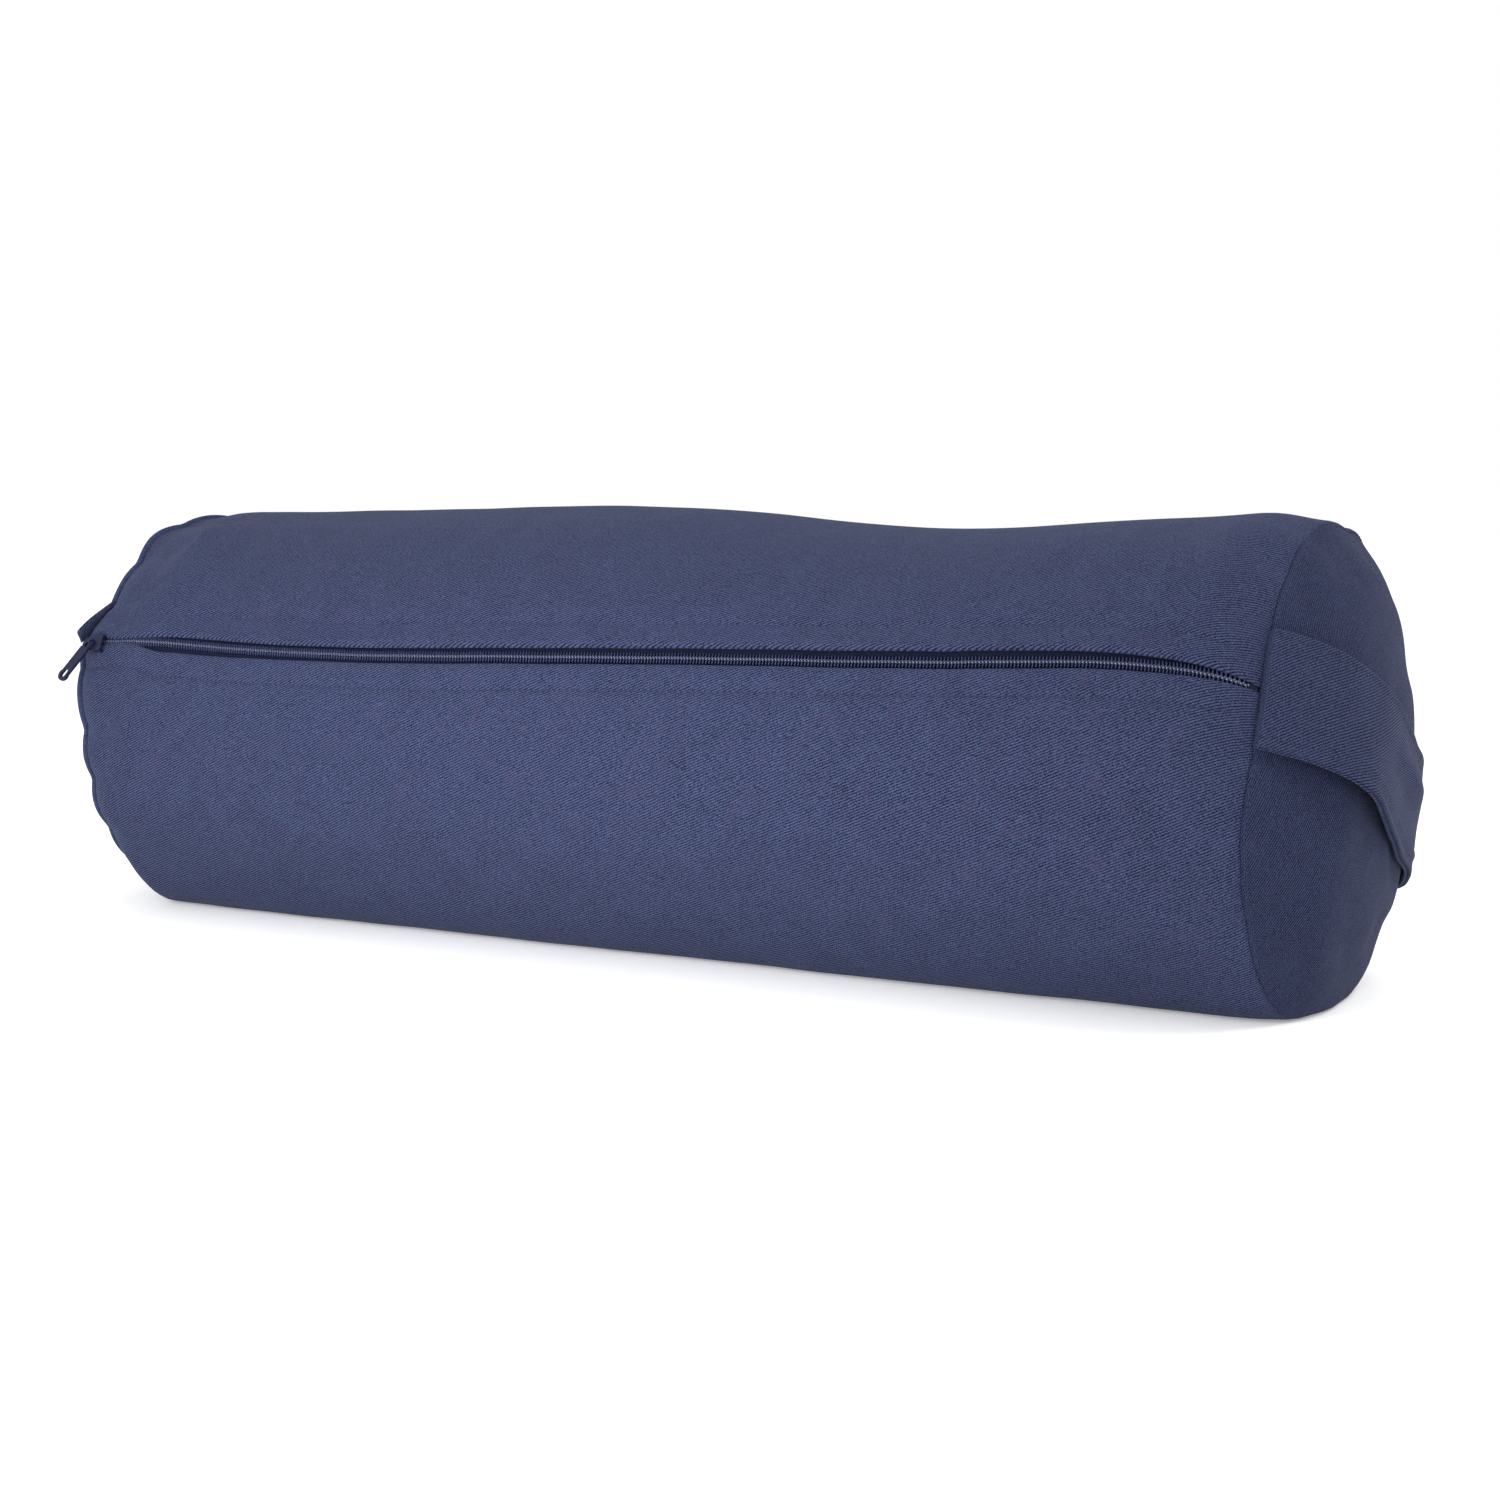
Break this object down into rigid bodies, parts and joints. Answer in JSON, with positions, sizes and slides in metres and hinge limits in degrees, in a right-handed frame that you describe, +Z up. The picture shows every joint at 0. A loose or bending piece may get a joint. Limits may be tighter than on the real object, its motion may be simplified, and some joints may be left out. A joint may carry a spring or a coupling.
{
  "type": "bolster pillow",
  "caption": "Round filled bolster in a zipped twill cover, with a pull-tab zip along its side and a flat strap handle across one crowned end.",
  "frame": {"origin": "middle of the flat on which the bolster rests, halfway between its end seams", "axes": "+X along the bolster towards the handle, -Y to the front with the zip, +Z up"},
  "size_m": [0.7122, 0.2321, 0.21],
  "materials": {
    "cover_twill": "matte twill",
    "end_twill": "matte twill",
    "strap_twill": "matte twill",
    "thread": "matte",
    "zip_tape": "woven tape",
    "zip_coil": "satin nylon",
    "zip_metal": "semi-gloss paint",
    "inner_cloth": "plain weave",
    "filling": "loose hulls"
  },
  "bodies": {
    "cover": {"cover_body_panel": "cover_twill", "cover_end_panel_right": "end_twill", "cover_end_panel_left": "end_twill", "seam_allowance_right": "cover_twill", "seam_allowance_left": "cover_twill", "end_seam_thread_right": "thread", "end_seam_thread_left": "thread", "zip_topstitch_upper": "thread", "zip_topstitch_lower": "thread", "zip_tape_upper": "zip_tape", "zip_tape_lower": "zip_tape", "zip_coil_upper": "zip_coil", "zip_coil_lower": "zip_coil", "zip_bartack_right": "thread", "zip_bartack_left": "thread", "zip_tape_tail": "zip_tape", "handle_tail_front": "strap_twill", "handle_tail_back": "strap_twill", "inner_bag_panel": "inner_cloth", "inner_bag_end_right": "inner_cloth", "inner_bag_end_left": "inner_cloth", "inner_bag_closing_stitch": "thread", "filling": "filling"},
    "slider": {"zip_slider": "zip_metal"},
    "pull_tab": {"zip_pull_tab": "zip_metal"},
    "handle": {"handle_grip": "strap_twill", "handle_stitching": "thread"}
  },
  "joints": [
    {"name": "slider_travel", "type": "slide", "parent": "cover", "child": "slider", "axis": [0.9999, 0.0067, 0.0142], "range_m": [0, 0.555], "deforming": ["zip_tape_upper", "zip_tape_lower", "zip_coil_upper", "zip_coil_lower"]},
    {"name": "tab_swing", "type": "hinge", "parent": "slider", "child": "pull_tab", "pos_m": [-0.304, -0.10669, 0.14564], "axis": [-0.8625, 0.2171, 0.4571], "range_deg": [0, 150]},
    {"name": "handle_sweep", "type": "hinge", "parent": "cover", "child": "handle", "pos_m": [0.20278, 0, 0.095], "axis": [0, -0.9033, 0.4289], "range_deg": [-10, 12]}
  ]
}
